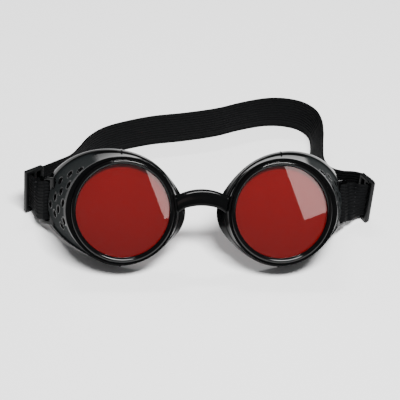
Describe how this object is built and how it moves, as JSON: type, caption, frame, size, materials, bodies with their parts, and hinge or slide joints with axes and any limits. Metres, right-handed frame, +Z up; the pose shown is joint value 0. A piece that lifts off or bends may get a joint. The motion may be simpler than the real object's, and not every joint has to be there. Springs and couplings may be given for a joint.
{
  "type": "welding goggles",
  "caption": "Cup goggles with round screw-in lenses in threaded rings, vented side shields, nose bridge and adjustable elastic head strap.",
  "frame": {"origin": "under the middle of the whole, on the surface that the goggles lie on", "axes": "+X from the left lens to the right lens seen from the front, +Y from the lenses back to the strap, +Z up; the goggles lean back 35 degrees"},
  "size_m": [0.1846, 0.1282, 0.0547],
  "materials": {
    "frame_plastic": "moulded black plastic, glossy rims and front, satin side shields",
    "ring_plastic": "glossy black moulded plastic",
    "clear_glass": "polished clear cover lens",
    "red_glass": "polished dark red filter lens",
    "gasket_rubber": "matt black rubber",
    "seal_rubber": "soft matt black elastomer",
    "strap_elastic": "ribbed woven black elastic",
    "slider_plastic": "satin black moulded plastic",
    "thread": "black sewing thread"
  },
  "bodies": {
    "frame": {"goggle_frame": "frame_plastic", "left_face_seal": "seal_rubber", "right_face_seal": "seal_rubber", "elastic_strap": "strap_elastic", "left_strap_stitching": "thread", "right_strap_stitching": "thread"},
    "left_lens_pack": {"left_clear_lens": "clear_glass", "left_tinted_lens": "red_glass", "left_lens_gasket": "gasket_rubber"},
    "right_lens_pack": {"right_clear_lens": "clear_glass", "right_tinted_lens": "red_glass", "right_lens_gasket": "gasket_rubber"},
    "left_ring": {"left_lens_ring": "ring_plastic"},
    "right_ring": {"right_lens_ring": "ring_plastic"},
    "left_slider": {"left_strap_slider": "slider_plastic"},
    "right_slider": {"right_strap_slider": "slider_plastic"}
  },
  "joints": [
    {"name": "left_lens_pack_slide", "type": "slide", "parent": "frame", "child": "left_lens_pack", "axis": [0, -0.8192, 0.5736], "range_m": [0, 0.00375]},
    {"name": "left_ring_turn", "type": "hinge", "parent": "left_lens_pack", "child": "left_ring", "pos_m": [-0.04334, -0.04892, 0.03266], "axis": [0, -0.8192, 0.5736], "range_deg": [0, 900]},
    {"name": "right_lens_pack_slide", "type": "slide", "parent": "frame", "child": "right_lens_pack", "axis": [0, -0.8192, 0.5736], "range_m": [0, 0.00375]},
    {"name": "right_ring_turn", "type": "hinge", "parent": "right_lens_pack", "child": "right_ring", "pos_m": [0.03666, -0.04892, 0.03266], "axis": [0, -0.8192, 0.5736], "range_deg": [0, 900]},
    {"name": "left_slider_slide", "type": "slide", "parent": "frame", "child": "left_slider", "axis": [0.4815, -0.8759, 0.0304], "range_m": [0, 0.0025]},
    {"name": "right_slider_slide", "type": "slide", "parent": "frame", "child": "right_slider", "axis": [-0.9703, -0.2408, 0.0245], "range_m": [0, 0.0025]}
  ],
  "couplings": [
    {"joint": "left_ring_turn", "follows": "left_lens_pack_slide", "rad_per_m": 4188.7},
    {"joint": "right_ring_turn", "follows": "right_lens_pack_slide", "rad_per_m": 4188.7}
  ]
}
